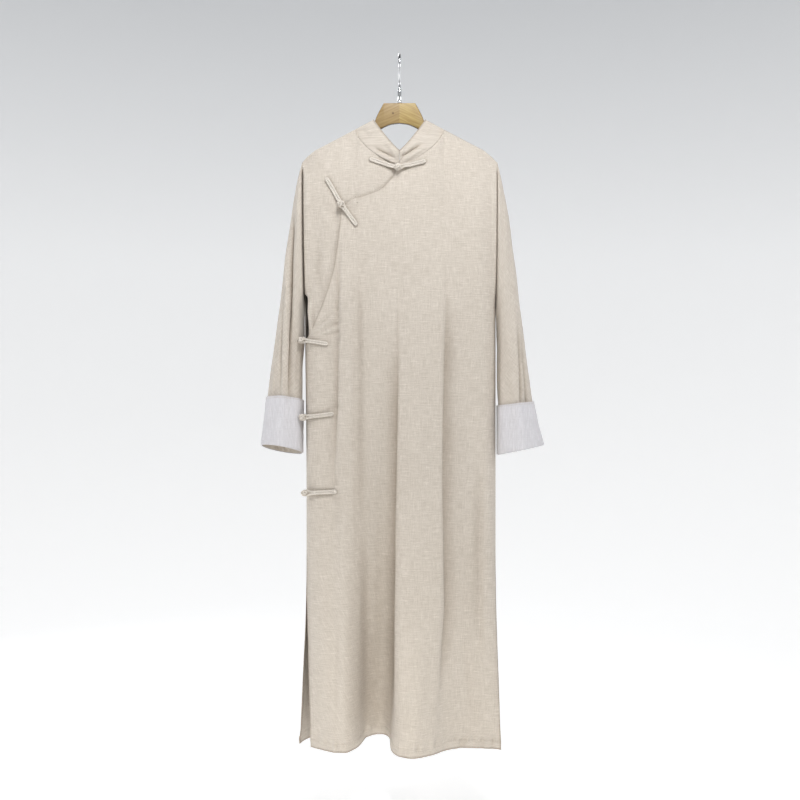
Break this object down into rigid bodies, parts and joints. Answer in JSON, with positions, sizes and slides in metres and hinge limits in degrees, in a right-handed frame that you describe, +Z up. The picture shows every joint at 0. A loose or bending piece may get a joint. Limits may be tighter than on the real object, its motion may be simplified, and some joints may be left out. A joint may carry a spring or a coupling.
{
  "type": "changshan on a hanger",
  "caption": "Long beige gown with stand collar, curved side closing with knot buttons, side slits and white turned-back cuffs, hung flat on a wooden hanger with a chrome hook.",
  "frame": {"origin": "inside top of the hook's bend, where a rod bears", "axes": "+Z up, -Y out of the gown's front, +X to the right of someone who faces the front"},
  "size_m": [0.6102, 0.2376, 1.488],
  "materials": {
    "gown_cloth": "matte slub weave, light beige",
    "cuff_cloth": "matte crinkled weave, white",
    "knot_cord": "matte rolled cord of the gown's cloth",
    "wood_left": "clear satin lacquer on light wood, slightly darker half",
    "wood_right": "clear satin lacquer on light wood",
    "chrome": "polished"
  },
  "bodies": {
    "root": {"front_panel": "gown_cloth", "under_front": "gown_cloth", "back_panel": "gown_cloth", "sleeve_left": "gown_cloth", "sleeve_right": "gown_cloth", "collar": "gown_cloth", "cuff_left": "cuff_cloth", "cuff_right": "cuff_cloth", "button_1": "knot_cord", "button_2": "knot_cord", "button_3": "knot_cord", "button_4": "knot_cord", "button_5": "knot_cord", "loop_1": "knot_cord", "loop_2": "knot_cord", "loop_3": "knot_cord", "loop_4": "knot_cord", "loop_5": "knot_cord", "hanger_half_left": "wood_left", "hanger_half_right": "wood_right", "ferrule": "chrome", "hook": "chrome"}
  },
  "joints": []
}
